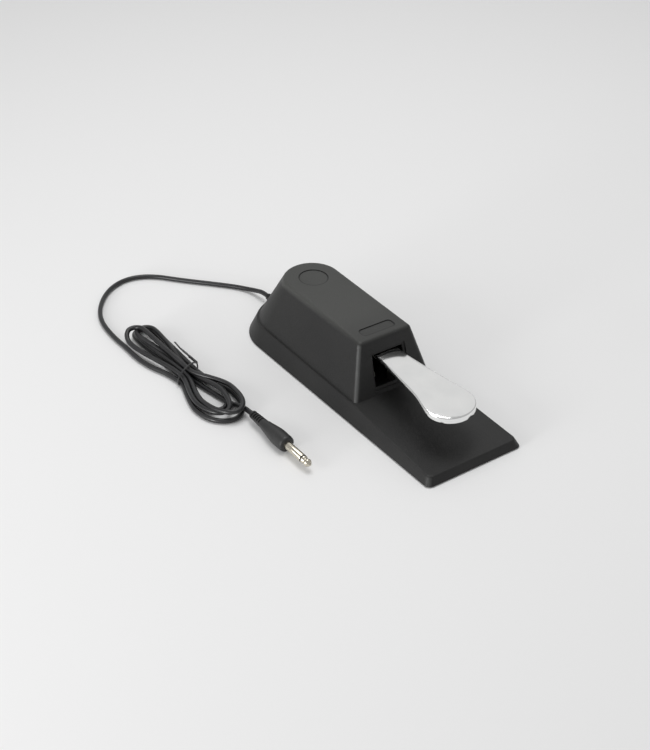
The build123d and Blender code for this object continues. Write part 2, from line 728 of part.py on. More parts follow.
def make_plug_tip():
    """Nickel tip with its detent groove and rounded cone."""
    z = PLUG_BODY_LENGTH + SLEEVE_LENGTH + INSULATOR_LENGTH
    return on_plug_axis(turned([
        (0, z), (3.05, z), (3.1, z + 1.6), (2.1, z + 3.2), (2.1, z + 4.2), (3.0, z + 5.2),
        (3.0, z + 6.0), (1.5, z + 8.3), (0.8, z + 8.8), (0, z + 8.9),
    ]))


def make_cable_gland():
    """Strain relief through the rear wall, tapering along the cord."""
    gland = turned([
        (0, GLAND_FLANGE_Y), (4.2, GLAND_FLANGE_Y), (4.2, GLAND_FLANGE_Y + 1.6),
        (3.6, GLAND_FLANGE_Y + 1.6), (3.6, GLAND_COLLAR_Y), (5.0, GLAND_COLLAR_Y),
        (5.0, GLAND_COLLAR_Y + 2.0), (3.9, GLAND_COLLAR_Y + 2.4), (2.7, GLAND_END_Y), (0, GLAND_END_Y),
    ])
    return Pos(0, 0, CABLE_Z) * Rot(-90, 0, 0) * gland


def make_inner_cable():
    """Jacketed cable inside the case, from the gland to its stripped end."""
    length = GLAND_FLANGE_Y - CABLE_INNER_END
    centre = (GLAND_FLANGE_Y + CABLE_INNER_END) / 2
    return Pos(0, centre, CABLE_Z) * Rot(90, 0, 0) * Cylinder(CORD_R, length)


def clamp_screw_spots():
    """Screws of the cable clamp."""
    return [(-7.0, 103.0), (7.0, 103.0)]


def make_cable_clamp():
    """Moulded saddle that holds the cable down on the plate."""
    clamp = block(-10.5, 10.5, 99, 107, PLATE_TOP, PLATE_TOP + STEEL)
    clamp += block(-4, 4, 99, 107, PLATE_TOP, CABLE_Z + 3.4)
    clamp -= Pos(0, 103, CABLE_Z) * Rot(90, 0, 0) * Cylinder(CORD_R + 0.02, 10)
    clamp -= block(-CORD_R, CORD_R, 98, 108, PLATE_TOP, CABLE_Z - 0.8)
    for x, y in clamp_screw_spots():
        clamp -= upright(x, y, 0, 10, SCREW_R + 0.1)
    return clamp


def make_wire(points):
    """Insulated wire from the cable's end to one switch tab."""
    solid, length = tube(points, 0.6, arc_radii(points))
    return solid


def drill_plate(plate, spots):
    """Tapped holes in the plate for the mechanism's screws."""
    for x, y in spots:
        plate -= upright(x, y, PLATE_TOP - PLATE_THICKNESS + 0.2, 10, SCREW_R + 0.02)
    return plate


plate_spots = bracket_screw_spots() + portal_screw_spots() + switch_foot_spots() + clamp_screw_spots()

pieces = {
    "upper_case": make_upper_case(),
    "base_plate": drill_plate(make_base_plate(), plate_spots),
    "rubber_mat": make_rubber_mat(),
    "case_screws": make_case_screws(),
    "pedal_lever": make_pedal_lever(),
    "pivot_shaft": make_pivot_shaft(),
    "shaft_clip_left": make_shaft_clip(-1),
    "shaft_clip_right": make_shaft_clip(1),
    "pivot_bush_left": make_pivot_bush(-1),
    "pivot_bush_right": make_pivot_bush(1),
    "pivot_bracket": make_pivot_bracket(),
    "bracket_screws": make_mechanism_screws(bracket_screw_spots() + portal_screw_spots()),
    "stop_bracket": make_stop_bracket(),
    "upper_stop_felt": make_upper_stop(),
    "lower_stop_rubber": make_lower_stop(),
    "spring_seat": make_spring_seat(),
    "spring_cap": make_spring_cap(),
    "return_spring": make_return_spring(),
    "switch_body": make_switch_body(),
    "switch_leaf": make_switch_leaf(),
    "switch_plunger": make_switch_plunger(),
    "switch_tabs": make_switch_tabs(),
    "switch_bracket": make_switch_bracket(),
    "switch_screws": make_switch_screws(),
    "switch_foot_screws": make_mechanism_screws(switch_foot_spots()),
    "cable_gland": make_cable_gland(),
    "inner_cable": make_inner_cable(),
    "cable_clamp": make_cable_clamp(),
    "clamp_screws": make_mechanism_screws(clamp_screw_spots()),
    "wire_common": make_wire([
        (-0.86, CABLE_INNER_END, CABLE_Z), (-0.86, 74, 8.4), (-0.86, 55, 11), (-0.86, 43.5, 16),
        (-0.86, 41, 24),
    ]),
    "wire_contact": make_wire([
        (0.86, CABLE_INNER_END, CABLE_Z), (0.86, 70, 7.6), (0.86, 48, 9), (0.86, 31, 13),
        (0.86, 27, 24),
    ]),
    "cord_lead": make_cord_lead(),
    "cord_hank": make_cord_hank(),
    "cord_tail": make_cord_tail(),
    "twist_tie": make_twist_tie(),
    "plug_body": make_plug_body(),
    "plug_sleeve": make_plug_sleeve(),
    "plug_insulator": make_plug_insulator(),
    "plug_tip": make_plug_tip(),
}

for name, piece in pieces.items():
    export_step(piece, f"parts/{name}.step")
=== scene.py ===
"""Looks of the sustain pedal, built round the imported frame. Metres, in the frame of the CAD model."""
import json
import math

import bmesh
import bpy
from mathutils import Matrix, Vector


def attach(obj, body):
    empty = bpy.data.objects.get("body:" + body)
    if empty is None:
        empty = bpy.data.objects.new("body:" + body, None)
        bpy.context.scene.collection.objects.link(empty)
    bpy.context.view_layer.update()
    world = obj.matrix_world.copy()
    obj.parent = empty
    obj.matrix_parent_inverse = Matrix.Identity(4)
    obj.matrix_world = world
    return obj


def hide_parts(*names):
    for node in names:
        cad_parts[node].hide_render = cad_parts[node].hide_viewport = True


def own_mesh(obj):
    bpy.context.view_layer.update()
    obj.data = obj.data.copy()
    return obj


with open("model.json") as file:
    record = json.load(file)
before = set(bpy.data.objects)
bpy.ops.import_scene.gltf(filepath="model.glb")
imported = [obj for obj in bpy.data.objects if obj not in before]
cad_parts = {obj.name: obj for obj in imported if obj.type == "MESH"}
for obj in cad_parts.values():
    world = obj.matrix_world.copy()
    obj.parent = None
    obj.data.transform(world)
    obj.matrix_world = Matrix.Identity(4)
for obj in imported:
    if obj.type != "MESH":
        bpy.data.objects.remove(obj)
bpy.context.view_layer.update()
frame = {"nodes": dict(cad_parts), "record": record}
nodes = frame["nodes"]
MM = 0.001


# ---------------------------------------------------------------- camera

CAMERA_PLACE = (-0.5216, -0.6963, 0.5964)
CAMERA_AIM = (0.4710, 0.6800, -0.5619)
CAMERA_LENS = 63.93
SENSOR_WIDTH = 36.0
NEAR_CLIP = 0.01


def make_camera():
    """Camera at the front left of the toe end, looking down on the pedal."""
    data = bpy.data.cameras.new("camera")
    data.lens = CAMERA_LENS
    data.sensor_width = SENSOR_WIDTH
    data.clip_start = NEAR_CLIP
    camera = bpy.data.objects.new("camera", data)
    bpy.context.scene.collection.objects.link(camera)
    camera.location = CAMERA_PLACE
    camera.rotation_euler = Vector(CAMERA_AIM).to_track_quat("-Z", "Y").to_euler()
    bpy.context.scene.camera = camera


# ---------------------------------------------------------------- cord

# Routes and sizes of the cord, the plug and the other pieces are in millimetres.
CORD_R = 2.0
GLAND_END = (0.0, 143.0, 8.0)
LEAD_ROUTE = [
    GLAND_END,
    (0.0, 151.0, 8.0),
    (-0.6, 160.0, 5.4),
    (-2.6, 169.8, 2.8),
    (-8.5, 180.6, 2.05),
    (-21.0, 195.0, 2.05),
    (-42.0, 217.5, 2.05),
    (-61.0, 241.0, 2.05),
    (-82.0, 249.0, 2.05),
    (-104.0, 240.5, 2.05),
    (-122.5, 220.0, 2.05),
    (-133.0, 197.5, 2.05),
    (-135.6, 170.0, 2.05),
    (-134.4, 146.5, 2.05),
    (-134.8, 130.0, 2.1),
    (-131.8, 112.0, 2.1),
    (-126.0, 97.0, 2.2),
]
TAIL_ROUTE = [
    (-112.2, 68.0, 2.2),
    (-109.6, 54.0, 2.1),
    (-107.2, 40.0, 2.1),
    (-105.0, 30.0, 2.3),
    (-103.6, 22.0, 5.4),
    (-102.6, 13.5, 6.7),
    (-102.2, 5.6, 6.7),
]
WAIST_Y = 82.0

# Each lobe of the hank is one fold of the cord. In turn: place in the tied waist where it starts and
# where it ends (x, z), how far out each side goes (x), its middle (x), the end of the fold (y), where
# each side is widest (y), the heights of the start side, the fold and the end side, and how late each
# side fans out.
LOWER_FOLDS = [
    ((-122.8, 2.4), (-105.2, 2.8), (-132.2, -96.2), -113.5, 13.0, (38, 42), (2.1, 2.1, 2.1), (1, 1)),
    ((-118.6, 2.4), (-107.2, 6.6), (-126.4, -102.8), -116.0, 29.0, (48, 46), (2.2, 2.6, 5.2), (1, 1)),
    ((-116.2, 5.9), (-113.0, 9.0), (-125.4, -96.6), -112.0, 11.5, (40, 44), (6.8, 10.0, 8.2), (1, 1)),
    ((-120.4, 6.3), (-111.2, 5.8), (-129.2, -106.0), -117.0, 20.0, (42, 44), (5.7, 6.4, 9.0), (1, 1)),
]
UPPER_FOLDS = [
    ((-105.2, 2.8), (-118.6, 2.4), (-103.8, -121.6), -112.7, 166.0, (156, 156), (2.1, 2.1, 2.1), (1, 1)),
    ((-107.2, 6.6), (-116.2, 5.9), (-105.2, -121.4), -113.2, 162.5, (153, 153), (5.9, 5.7, 5.7), (1, 1)),
    ((-113.0, 9.0), (-120.4, 6.3), (-116.8, -131.4), -124.2, 158.5, (150, 149), (13.2, 11.6, 5.2), (1, 1)),
    ((-111.2, 5.8), (-113.4, 2.3), (-106.8, -122.8), -114.8, 157.5, (148, 148), (9.4, 9.2, 9.2), (1, 3.5)),
]
FOLD_STEPS = 5

# Along one side of a fold, from the waist: shares of the way out, along and up to its widest place.
FAN = ((0.0, 0.06, 0.0), (0.14, 0.24, 0.1), (0.5, 0.48, 0.45), (0.86, 0.76, 0.85))
BEVEL_STEPS = 5
CURVE_STEPS = 6


def mix(a, b, share):
    """Value a share of the way from a to b."""
    return a + (b - a) * share


def fold_side(slot, reach, wide_y, height, late):
    """Points from the waist out to the widest place of one side of a fold."""
    x, z = slot
    points = []
    for out, along, rise in FAN:
        points.append((mix(x, reach, out ** late), mix(WAIST_Y, wide_y, along), mix(z, height, rise)))
    return points


def fold_points(start, end, reach, middle, tip, wide, heights, late):
    """Control points of one lobe: out along a side, round the fold, and back."""
    # Points between the first and the last of the arc lie outside it, so that the spline reaches it.
    cover = 1 / math.cos(math.pi / FOLD_STEPS / 2)
    arc = []
    for step in range(FOLD_STEPS + 1):
        angle = math.pi * step / FOLD_STEPS
        first = step < FOLD_STEPS / 2
        grow = cover if 0 < step < FOLD_STEPS else 1.0
        out = reach[0] if first else reach[1]
        x = middle + abs(math.cos(angle)) * (out - middle) * grow
        base = mix(wide[0], wide[1], step / FOLD_STEPS)
        y = base + math.sin(angle) * grow * (tip - base)
        z = mix(heights[0] if first else heights[2], heights[1], math.sin(angle))
        arc.append((x, y, z))
    going = fold_side(start, reach[0], wide[0], heights[0], late[0])
    coming = fold_side(end, reach[1], wide[1], heights[2], late[1])
    return going + arc + coming[::-1]


def cord_route():
    """The whole cord from the gland to the plug."""
    route = list(LEAD_ROUTE)
    for lower, upper in zip(LOWER_FOLDS, UPPER_FOLDS):
        route += fold_points(*lower) + fold_points(*upper)
    return route + TAIL_ROUTE


def nurbs_cord(name, route, radius):
    """One smooth open curve with a round section."""
    data = bpy.data.curves.new(name, "CURVE")
    data.dimensions = "3D"
    data.bevel_depth = radius * MM
    data.bevel_resolution = BEVEL_STEPS
    data.resolution_u = CURVE_STEPS
    data.use_fill_caps = True
    spline = data.splines.new("NURBS")
    spline.points.add(len(route) - 1)
    for point, place in zip(spline.points, route):
        point.co = (*(value * MM for value in place), 1.0)
    spline.order_u = 3
    spline.use_endpoint_u = True
    cord = bpy.data.objects.new(name, data)
    bpy.context.scene.collection.objects.link(cord)
    return cord


# ---------------------------------------------------------------- finishes

def new_material(name):
    """Node material with a principled shader."""
    material = bpy.data.materials.new(name)
    material.use_nodes = True
    material["slot"] = name
    return material


def noise(tree, scale, detail, stretch=(1.0, 1.0, 1.0)):
    """Noise in the frame's own metres, with scale in bumps per metre."""
    mapping = tree.nodes.new("ShaderNodeMapping")
    mapping.inputs["Scale"].default_value = stretch
    texture = tree.nodes.new("ShaderNodeTexNoise")
    texture.inputs["Scale"].default_value = scale
    texture.inputs["Detail"].default_value = detail
    tree.links.new(object_place(tree)[0], mapping.inputs["Vector"])
    tree.links.new(mapping.outputs["Vector"], texture.inputs["Vector"])
    return texture.outputs["Fac"]


def spread(tree, value, low, high, start=0.3, end=0.7):
    """Value stretched from start..end to low..high."""
    node = tree.nodes.new("ShaderNodeMapRange")
    node.inputs["From Min"].default_value = start
    node.inputs["From Max"].default_value = end
    node.inputs["To Min"].default_value = low
    node.inputs["To Max"].default_value = high
    tree.links.new(value, node.inputs["Value"])
    return node.outputs["Result"]


def blend_colours(tree, share, first, second):
    """Colour between two by a share."""
    node = tree.nodes.new("ShaderNodeMix")
    node.data_type = "RGBA"
    for socket, value in ((node.inputs[6], first), (node.inputs[7], second)):
        if isinstance(value, tuple):
            socket.default_value = (*value, 1.0)
        else:
            tree.links.new(value, socket)
    tree.links.new(share, node.inputs[0])
    return node.outputs[2]


def bump(tree, height, depth, under=None):
    """Normal of a surface raised by height, over another bump if one is given."""
    node = tree.nodes.new("ShaderNodeBump")
    node.inputs["Strength"].default_value = 1.0
    node.inputs["Distance"].default_value = depth
    tree.links.new(height, node.inputs["Height"])
    if under is not None:
        tree.links.new(under, node.inputs["Normal"])
    return node.outputs["Normal"]


def object_place(tree):
    """Coordinates of a point in the frame's own metres, and its normal."""
    place = tree.nodes.new("ShaderNodeTexCoord")
    return place.outputs["Object"], place.outputs["Normal"]


def parts_of(tree, vector):
    """The X, Y and Z of a vector, by name."""
    split = tree.nodes.new("ShaderNodeSeparateXYZ")
    tree.links.new(vector, split.inputs["Vector"])
    return split.outputs


def math_node(tree, kind, first, second=None):
    """Result of one sum on sockets or plain numbers."""
    node = tree.nodes.new("ShaderNodeMath")
    node.operation = kind
    for socket, value in zip(node.inputs, (first, second)):
        if value is None:
            continue
        if isinstance(value, float):
            socket.default_value = value
        else:
            tree.links.new(value, socket)
    return node.outputs[0]


PATCH_DETAIL = 4.0
GRAIN_DETAIL = 2.0


def surface(name, light, dark, rough, metallic=0.0, specular=0.5, patch=60.0, grain=2500.0, depth=0.00002,
            stretch=(1.0, 1.0, 1.0)):
    """Finish with patchy colour, uneven gloss and a fine grain."""
    material = new_material(name)
    tree = material.node_tree
    shader = tree.nodes["Principled BSDF"]
    shader.inputs["Metallic"].default_value = metallic
    shader.inputs["Specular IOR Level"].default_value = specular
    patches = noise(tree, patch, PATCH_DETAIL, stretch)
    grains = noise(tree, grain, GRAIN_DETAIL, stretch)
    colour = blend_colours(tree, spread(tree, patches, 0.0, 1.0), dark, light)
    tree.links.new(colour, shader.inputs["Base Color"])
    tree.links.new(spread(tree, patches, *rough), shader.inputs["Roughness"])
    tree.links.new(bump(tree, grains, depth), shader.inputs["Normal"])
    return material


# Finish of each material slot: light and dark colour, roughness range, and what else sets it apart.
ACROSS = (0.1, 1.0, 1.0)
LENGTHWAYS = (1.0, 0.1, 1.0)
FINISHES = {
    "plate_steel": dict(
        light=(0.030, 0.030, 0.030), dark=(0.020, 0.020, 0.020), rough=(0.35, 0.5), grain=1500),
    "screw_steel": dict(
        light=(0.60, 0.60, 0.58), dark=(0.46, 0.46, 0.45), rough=(0.25, 0.4), metallic=1.0, patch=400),
    "bright_steel": dict(
        light=(0.72, 0.72, 0.71), dark=(0.60, 0.60, 0.60), rough=(0.15, 0.3), metallic=1.0, stretch=ACROSS),
    "spring_steel": dict(
        light=(0.50, 0.49, 0.47), dark=(0.36, 0.35, 0.34), rough=(0.22, 0.38), metallic=1.0, patch=300),
    "bush_nylon": dict(
        light=(0.74, 0.72, 0.66), dark=(0.66, 0.63, 0.56), rough=(0.4, 0.55), patch=150),
    "bracket_steel": dict(
        light=(0.62, 0.62, 0.59), dark=(0.48, 0.49, 0.47), rough=(0.3, 0.45), metallic=1.0,
        stretch=LENGTHWAYS),
    "stop_felt": dict(
        light=(0.10, 0.10, 0.10), dark=(0.045, 0.045, 0.045), rough=(0.9, 1.0), grain=900, depth=0.0003,
        specular=0.1),
    "stop_rubber": dict(
        light=(0.040, 0.040, 0.040), dark=(0.025, 0.025, 0.025), rough=(0.6, 0.75)),
    "switch_plastic": dict(
        light=(0.045, 0.045, 0.050), dark=(0.03, 0.03, 0.034), rough=(0.35, 0.5)),
    "button_plastic": dict(
        light=(0.55, 0.09, 0.06), dark=(0.45, 0.06, 0.04), rough=(0.3, 0.4)),
    "tab_brass": dict(
        light=(0.78, 0.62, 0.33), dark=(0.62, 0.47, 0.24), rough=(0.25, 0.4), metallic=1.0, patch=300),
    "gland_rubber": dict(
        light=(0.022, 0.022, 0.022), dark=(0.014, 0.014, 0.014), rough=(0.5, 0.62), grain=3500),
    "cord_jacket": dict(
        light=(0.018, 0.018, 0.019), dark=(0.011, 0.011, 0.012), rough=(0.3, 0.4), patch=90, grain=3000,
        depth=0.00001),
    "wire_black": dict(
        light=(0.020, 0.020, 0.020), dark=(0.014, 0.014, 0.014), rough=(0.35, 0.5)),
    "wire_red": dict(
        light=(0.42, 0.03, 0.02), dark=(0.32, 0.02, 0.015), rough=(0.35, 0.5)),
    "tie_plastic": dict(
        light=(0.022, 0.022, 0.023), dark=(0.014, 0.014, 0.015), rough=(0.25, 0.38), patch=500),
    "plug_plastic": dict(
        light=(0.020, 0.020, 0.020), dark=(0.013, 0.013, 0.013), rough=(0.4, 0.52), grain=3500,
        depth=0.00003),
    "insulator_plastic": dict(
        light=(0.02, 0.02, 0.02), dark=(0.012, 0.012, 0.012), rough=(0.25, 0.35)),
    "plug_nickel": dict(
        light=(0.68, 0.64, 0.55), dark=(0.60, 0.56, 0.47), rough=(0.12, 0.22), metallic=1.0, patch=250,
        grain=1200, depth=0.000005),
}

# Recesses on the case's top, in metres: middle (x, y), half sizes (x, y) and corner radius.
LABEL = (0.0, -0.0126, 0.015, 0.0045, 0.0032)
ROUND_RECESS = (0.0, 0.073, 0.0117, 0.0117, 0.0117)
GROOVE_WIDTH = 0.0006
GROOVE_BOTTOM = 0.00024
LOWEST_GROOVE_Z = 0.05

# The case's plastic: its own colours, the dust in its specks, painted shade in the outline grooves of its
# recesses, painted light on its top face and painted highlights on its front corners.
PLASTIC_DARK = (0.0105, 0.0105, 0.0105)
PLASTIC_LIGHT = (0.0145, 0.0145, 0.0140)
DUST = (0.05, 0.05, 0.048)
GROOVE_PAINTED_SHADE = (0.004, 0.004, 0.004)
TOP_PAINTED_LIGHT = (0.050, 0.051, 0.048)
TOP_PAINTED_LIGHT_Z = (0.054, 0.0575)
CORNER_PAINTED_HIGHLIGHT = (0.052, 0.053, 0.052)
# A corner's normal has both an X and a Y: the painted highlight sets in and is full where their product is
# this large.
CORNER_PAINTED_HIGHLIGHT_TURN = (0.22, 0.42)
CORNER_PAINTED_HIGHLIGHT_ENDS_Y = (0.0, 0.02)
DUST_SHARE = (0.0, 0.22)
DUST_SPECKS = (0.55, 0.75)

# Noises of the case: bumps per metre and detail. Depths are in metres.
CASE_PATCHES = (22.0, 5.0)
CASE_SPECKS = (1500.0, 2.0)
CASE_FINE_GRAIN = (2600.0, 3.0)
CASE_FINE_DEPTH = 0.00006
CASE_COARSE_GRAIN = (900.0, 2.0)
CASE_COARSE_DEPTH = 0.00014
CASE_ROUGH = (0.42, 0.54)
CASE_SPECULAR = 0.35


def outline_band(tree, centre_x, centre_y, half_x, half_y, corner):
    """Share from 0 to 1 that is 1 on the outline of a rounded rectangle seen from above."""
    place = parts_of(tree, object_place(tree)[0])
    sides = []
    for axis, centre, half in (("X", centre_x, half_x), ("Y", centre_y, half_y)):
        away = math_node(tree, "ABSOLUTE", math_node(tree, "SUBTRACT", place[axis], centre))
        sides.append(math_node(tree, "MAXIMUM", math_node(tree, "SUBTRACT", away, half - corner), 0.0))
    squares = [math_node(tree, "MULTIPLY", side, side) for side in sides]
    reach = math_node(tree, "SQRT", math_node(tree, "ADD", *squares))
    off = math_node(tree, "ABSOLUTE", math_node(tree, "SUBTRACT", reach, corner))
    line = spread(tree, off, 0.0, 1.0, GROOVE_WIDTH, GROOVE_BOTTOM)
    above = math_node(tree, "GREATER_THAN", place["Z"], LOWEST_GROOVE_Z)
    return math_node(tree, "MULTIPLY", line, above)


def front_corners(tree):
    """Share from 0 to 1 that is 1 on the upright corners at the front of the case, where a highlight is
    painted.
    """
    place, normal = object_place(tree)
    facing = parts_of(tree, normal)
    turn = math_node(tree, "ABSOLUTE", math_node(tree, "MULTIPLY", facing["X"], facing["Y"]))
    ahead = spread(tree, parts_of(tree, place)["Y"], 1.0, 0.0, *CORNER_PAINTED_HIGHLIGHT_ENDS_Y)
    return math_node(tree, "MULTIPLY", spread(tree, turn, 0.0, 1.0, *CORNER_PAINTED_HIGHLIGHT_TURN), ahead)


def case_finish():
    """Moulded black plastic with a spark-eroded grain and dust specks, painted lighter on top for the light
    falling on it, with painted highlights on its front corners and painted shade in its grooves.
    """
    material = new_material("case_plastic")
    tree = material.node_tree
    shader = tree.nodes["Principled BSDF"]
    shader.inputs["Specular IOR Level"].default_value = CASE_SPECULAR
    patches = noise(tree, *CASE_PATCHES)
    specks = noise(tree, *CASE_SPECKS)
    coarse = bump(tree, noise(tree, *CASE_COARSE_GRAIN), CASE_COARSE_DEPTH)
    fine = bump(tree, noise(tree, *CASE_FINE_GRAIN), CASE_FINE_DEPTH, coarse)
    height = parts_of(tree, object_place(tree)[0])["Z"]
    colour = blend_colours(tree, spread(tree, patches, 0.0, 1.0), PLASTIC_DARK, PLASTIC_LIGHT)
    # Painted light: the top face is made lighter, standing in for the light that falls on it from above.
    colour = blend_colours(tree, spread(tree, height, 0.0, 1.0, *TOP_PAINTED_LIGHT_Z), colour, TOP_PAINTED_LIGHT)
    # Painted highlight: the upright front corners are made lighter, standing in for the glossy highlight of a
    # low light.
    colour = blend_colours(tree, front_corners(tree), colour, CORNER_PAINTED_HIGHLIGHT)
    colour = blend_colours(tree, spread(tree, specks, *DUST_SHARE, *DUST_SPECKS), colour, DUST)
    # Painted shade: a dark line on the outlines of the label and the round recess stands in for the shade in
    # their grooves.
    colour = blend_colours(tree, outline_band(tree, *LABEL), colour, GROOVE_PAINTED_SHADE)
    colour = blend_colours(tree, outline_band(tree, *ROUND_RECESS), colour, GROOVE_PAINTED_SHADE)
    tree.links.new(colour, shader.inputs["Base Color"])
    tree.links.new(spread(tree, patches, *CASE_ROUGH), shader.inputs["Roughness"])
    tree.links.new(fine, shader.inputs["Normal"])
    return material


CHROME_DARK = (0.86, 0.865, 0.86)
CHROME_LIGHT = (0.93, 0.93, 0.92)
CHROME_ROUGH = (0.09, 0.17)
CHROME_SMUDGES = (45.0, 5.0)
CHROME_WAVES = (70.0, 2.0)
CHROME_WAVE_DEPTH = 0.00003
POLISHING_LINES = (900.0, 3.0, (1.0, 0.12, 1.0))
POLISHING_DEPTH = 0.000004


def chrome_finish():
    """Bright plating with a faint waviness, fine polishing lines and soft smudges."""
    material = new_material("lever_chrome")
    tree = material.node_tree
    shader = tree.nodes["Principled BSDF"]
    shader.inputs["Metallic"].default_value = 1.0
    smudges = noise(tree, *CHROME_SMUDGES)
    colour = blend_colours(tree, spread(tree, smudges, 0.0, 1.0), CHROME_DARK, CHROME_LIGHT)
    waves = bump(tree, noise(tree, *CHROME_WAVES), CHROME_WAVE_DEPTH)
    lines = bump(tree, noise(tree, *POLISHING_LINES), POLISHING_DEPTH, waves)
    tree.links.new(colour, shader.inputs["Base Color"])
    tree.links.new(spread(tree, smudges, *CHROME_ROUGH), shader.inputs["Roughness"])
    tree.links.new(lines, shader.inputs["Normal"])
    return material


RIBS_SCALE = 120.0
RIB_HEIGHT = 0.0004


def mat_finish():
    """Black rubber sheet with fine ribs across the pedal and a dusty wear."""
    material = surface("mat_rubber", light=(0.035, 0.035, 0.034), dark=(0.018, 0.018, 0.018),
                       rough=(0.65, 0.85), specular=0.25, patch=35.0, grain=1200.0, depth=0.0001)
    tree = material.node_tree
    shader = tree.nodes["Principled BSDF"]
    ribs = tree.nodes.new("ShaderNodeTexWave")
    ribs.bands_direction = "Y"
    ribs.inputs["Scale"].default_value = RIBS_SCALE
    ribs.inputs["Distortion"].default_value = 0.0
    tree.links.new(object_place(tree)[0], ribs.inputs["Vector"])
    under = shader.inputs["Normal"].links[0].from_socket
    tree.links.new(bump(tree, ribs.outputs["Fac"], RIB_HEIGHT, under), shader.inputs["Normal"])
    return material


def make_finishes():
    """One material for each slot of the record."""
    finishes = {name: surface(name, **values) for name, values in FINISHES.items()}
    finishes["case_plastic"] = case_finish()
    finishes["lever_chrome"] = chrome_finish()
    finishes["mat_rubber"] = mat_finish()
    return finishes


WELD_WITHIN = 1e-6
CAD_SHARP = math.radians(28)
PIECE_SHARP = math.radians(40)


def dress_frame(finishes):
    """Every CAD node gets its slot's finish, and smooth shading between its sharp edges."""
    for part in frame["record"]["subparts"]:
        node = nodes[part["node"]]
        for place in node.material_slots:
            place.material = finishes[part["material_slot"]]
        for polygon in node.data.polygons:
            polygon.use_smooth = True
        weld = node.modifiers.new("weld", "WELD")
        weld.merge_threshold = WELD_WITHIN
        split = node.modifiers.new("sharp_edges", "EDGE_SPLIT")
        split.split_angle = CAD_SHARP


# ---------------------------------------------------------------- pieces in mesh

def add_piece(name, vertices, faces, finish):
    """Smooth mesh piece, given in millimetres, that rides on the case and takes its finish from a slot."""
    mesh = bpy.data.meshes.new(name)
    mesh.from_pydata([[value * MM for value in vertex] for vertex in vertices], [], faces)
    build = bmesh.new()
    build.from_mesh(mesh)
    bmesh.ops.recalc_face_normals(build, faces=build.faces)
    build.to_mesh(mesh)
    build.free()
    for polygon in mesh.polygons:
        polygon.use_smooth = True
    piece = bpy.data.objects.new(name, mesh)
    bpy.context.scene.collection.objects.link(piece)
    mesh.materials.append(finish)
    split = piece.modifiers.new("sharp_edges", "EDGE_SPLIT")
    split.split_angle = PIECE_SHARP
    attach(piece, "case")
    return piece


def ring_faces(rings, count):
    """Quads between neighbouring rings of points, with the two ends capped."""
    faces = []
    for ring in range(rings - 1):
        here, there = ring * count, (ring + 1) * count
        for step in range(count):
            near = (step + 1) % count
            faces.append((here + step, here + near, there + near, there + step))
    faces.append(tuple(range(count))[::-1])
    faces.append(tuple(range((rings - 1) * count, rings * count)))
    return faces


TURNED_SIDES = 48
GRIP_SIDES = 64


def turned(profile, start, direction, steps=TURNED_SIDES, shape=None):
    """Points and faces of a form turned about a line, from (radius, distance) pairs along it."""
    along = Vector(direction).normalized()
    side = along.cross(Vector((0, 0, 1))).normalized()
    up = side.cross(along)
    points = []
    for radius, distance in profile:
        for step in range(steps):
            angle = 2 * math.pi * step / steps
            reach = radius if shape is None else shape(radius, distance, angle)
            offset = side * (reach * math.cos(angle)) + up * (reach * math.sin(angle))
            points.append(Vector(start) + along * distance + offset)
    return points, ring_faces(len(profile), steps)


def smooth_profile(corners, step):
    """Profile points no further apart than a step along the axis."""
    points = []
    for (r0, d0), (r1, d1) in zip(corners, corners[1:]):
        count = max(1, math.ceil((d1 - d0) / step))
        points += [(mix(r0, r1, i / count), mix(d0, d1, i / count)) for i in range(count)]
    return points + [corners[-1]]


# Where a relief's slots lie in each pitch, and how wide the uncut spines on its two sides are.
SLOT_FROM, SLOT_TO = 0.25, 0.72
SPINE_HALF = 0.42


def relief_shape(first, last, slots, depth):
    """Turned shape with cross slots between two spines, as on a bending relief."""
    pitch = (last - first) / slots

    def shape(radius, distance, angle):
        if not first < distance < last:
            return radius
        phase = (distance - first) / pitch % 1.0
        cut = SLOT_FROM < phase < SLOT_TO and abs(math.sin(angle)) >= SPINE_HALF
        return radius - depth if cut else radius
    return shape


# Profiles of the turned pieces are (radius, distance along the axis).
GLAND_START = (0.0, 124.2, 8.0)
GLAND = [(3.6, 0.0), (3.6, 10.2), (4.7, 10.3), (5.0, 10.6), (5.0, 11.9), (4.7, 12.2), (3.95, 12.4),
         (3.85, 13.0), (2.8, 18.3), (2.5, 18.8)]
GLAND_SLOTS = dict(first=13.0, last=18.0, slots=3, depth=0.7)
GLAND_STEP = 0.2


def make_gland(finish):
    """Tapered bending relief where the lead leaves the case."""
    fine = smooth_profile(GLAND, GLAND_STEP)
    points, faces = turned(fine, GLAND_START, (0, 1, 0), shape=relief_shape(**GLAND_SLOTS))
    piece = add_piece("gland", points, faces, finish)
    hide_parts("cable_gland")
    return piece


PLUG_START = (-102.2, 5.6, 6.7)
PLUG_TURN = math.radians(0.6)
PLUG_AIM = (math.sin(PLUG_TURN), -math.cos(PLUG_TURN), 0.0)
GRIP_LENGTH = 47.5
GRIP = [(2.5, 0.0), (3.0, 0.35), (3.25, 1.0), (3.3, 2.2), (3.45, 5.0), (3.9, 15.0), (4.1, 17.5), (4.55, 19.8),
        (5.4, 25.5), (6.1, 30.5), (6.5, 34.5), (6.6, 38.0), (6.55, 42.0), (6.4, GRIP_LENGTH - 2.0),
        (6.1, GRIP_LENGTH - 0.8), (5.5, GRIP_LENGTH - 0.2), (4.9, GRIP_LENGTH)]
GRIP_SLOTS = dict(first=2.0, last=15.0, slots=5, depth=1.3)
GRIP_STEP = 0.3
SLEEVE_R = 3.175
SLEEVE_END = GRIP_LENGTH + 19.6
SLEEVE = [(SLEEVE_R, GRIP_LENGTH - 0.2), (SLEEVE_R, SLEEVE_END - 0.25), (3.0, SLEEVE_END)]
RING_END = SLEEVE_END + 1.2
